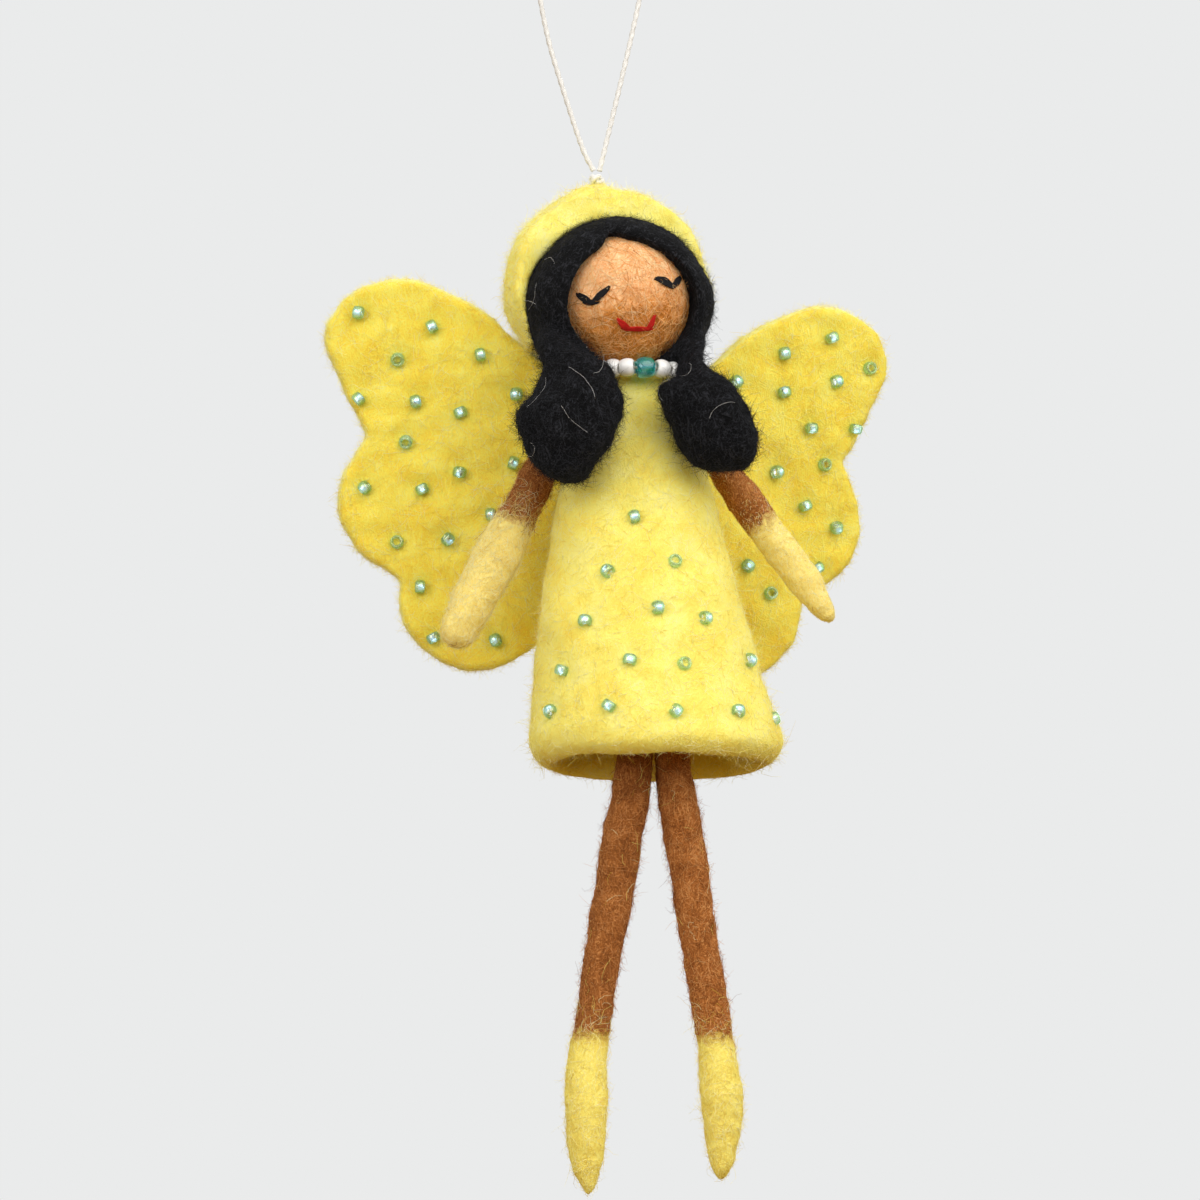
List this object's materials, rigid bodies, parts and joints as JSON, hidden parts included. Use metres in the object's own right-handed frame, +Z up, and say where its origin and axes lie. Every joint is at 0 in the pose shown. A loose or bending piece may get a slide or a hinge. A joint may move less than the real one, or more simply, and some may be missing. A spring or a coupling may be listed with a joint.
{
  "type": "felt fairy doll",
  "caption": "Needle-felted fairy doll in a yellow bell dress and hood, with bead-sewn felt wings, dark hair bunches, wired limbs and a cotton loop to hang it by.",
  "frame": {"origin": "top of the hanging loop, where it lies over a hook", "axes": "+Z up along the hanging doll, -Y out of its face, +X to the right as the face is looked at"},
  "size_m": [0.0896, 0.0423, 0.1996],
  "materials": {
    "yellow_felt": "needle-felted wool, matt and fuzzy",
    "yellow_wool": "wound and felted wool, matt and fuzzy",
    "brown_wool": "wound and felted wool, matt",
    "tan_wool": "felted wool, matt and fuzzy",
    "black_wool": "combed wool roving",
    "raw_wool": "undyed core wool",
    "cotton": "twisted cotton",
    "red_thread": "stranded thread",
    "black_thread": "stranded thread",
    "white_bead": "opaque lustred glass",
    "teal_bead": "deep coloured glass",
    "aqua_bead": "transparent coloured glass",
    "steel_wire": "drawn craft wire"
  },
  "bodies": {
    "head": {"head": "tan_wool", "hair_cap": "black_wool", "hair_bunch_left": "black_wool", "hair_bunch_right": "black_wool", "hood": "yellow_wool", "eye_left_stitches": "black_thread", "eye_right_stitches": "black_thread", "mouth_stitches": "red_thread", "loop_knot": "cotton", "hanging_loop": "cotton"},
    "torso": {"dress": "yellow_felt", "torso_core": "raw_wool", "neck_wire": "steel_wire", "shoulder_wire": "steel_wire", "hip_wire": "steel_wire", "necklace_thread": "cotton", "necklace_centre_bead": "teal_bead", "necklace_bead_left_1": "white_bead", "necklace_bead_left_2": "white_bead", "necklace_bead_left_3": "white_bead", "necklace_bead_left_4": "white_bead", "necklace_bead_right_1": "white_bead", "necklace_bead_right_2": "white_bead", "necklace_bead_right_3": "white_bead", "necklace_bead_right_4": "white_bead", "wing_spine": "yellow_felt", "wing_stitch_upper": "cotton", "wing_stitch_lower": "cotton", "dress_bead_01": "aqua_bead", "dress_bead_02": "aqua_bead", "dress_bead_03": "aqua_bead", "dress_bead_04": "aqua_bead", "dress_bead_05": "aqua_bead", "dress_bead_06": "aqua_bead", "dress_bead_07": "aqua_bead", "dress_bead_08": "aqua_bead", "dress_bead_09": "aqua_bead", "dress_bead_10": "aqua_bead", "dress_bead_11": "aqua_bead", "dress_bead_12": "aqua_bead", "dress_bead_13": "aqua_bead", "dress_bead_14": "aqua_bead", "dress_bead_15": "aqua_bead"},
    "left_arm": {"upper_arm_left": "brown_wool", "glove_left": "yellow_wool", "arm_wire_left": "steel_wire"},
    "right_arm": {"upper_arm_right": "brown_wool", "glove_right": "yellow_wool", "arm_wire_right": "steel_wire"},
    "left_leg": {"leg_left": "brown_wool", "shoe_left": "yellow_wool", "leg_wire_left": "steel_wire"},
    "right_leg": {"leg_right": "brown_wool", "shoe_right": "yellow_wool", "leg_wire_right": "steel_wire"},
    "left_wing": {"wing_left": "yellow_felt"},
    "right_wing": {"wing_right": "yellow_felt"}
  },
  "joints": [
    {"name": "neck_turn", "type": "hinge", "parent": "head", "child": "torso", "pos_m": [0.0041, -0.004, -0.0765], "axis": [0, 0, 1], "range_deg": [-10, 10]},
    {"name": "left_shoulder", "type": "hinge", "parent": "torso", "child": "left_arm", "pos_m": [-0.0078, -0.0025, -0.08693], "axis": [0, 1, 0], "range_deg": [-8, 80]},
    {"name": "right_shoulder", "type": "hinge", "parent": "torso", "child": "right_arm", "pos_m": [0.01615, -0.0025, -0.08693], "axis": [0, -1, 0], "range_deg": [-17, 70]},
    {"name": "left_hip", "type": "hinge", "parent": "torso", "child": "left_leg", "pos_m": [0.00429, -0.004, -0.12453], "axis": [-1, 0, 0], "range_deg": [-30, 35]},
    {"name": "right_hip", "type": "hinge", "parent": "torso", "child": "right_leg", "pos_m": [0.00989, -0.004, -0.12453], "axis": [-1, 0, 0], "range_deg": [-30, 35]},
    {"name": "left_wing_fold", "type": "hinge", "parent": "torso", "child": "left_wing", "pos_m": [0.0011, 0.00719, -0.09513], "axis": [0, -0.179, 0.9838], "range_deg": [-50, 10]},
    {"name": "right_wing_fold", "type": "hinge", "parent": "torso", "child": "right_wing", "pos_m": [0.0071, 0.00719, -0.09513], "axis": [0, 0.179, -0.9838], "range_deg": [-50, 10]}
  ]
}
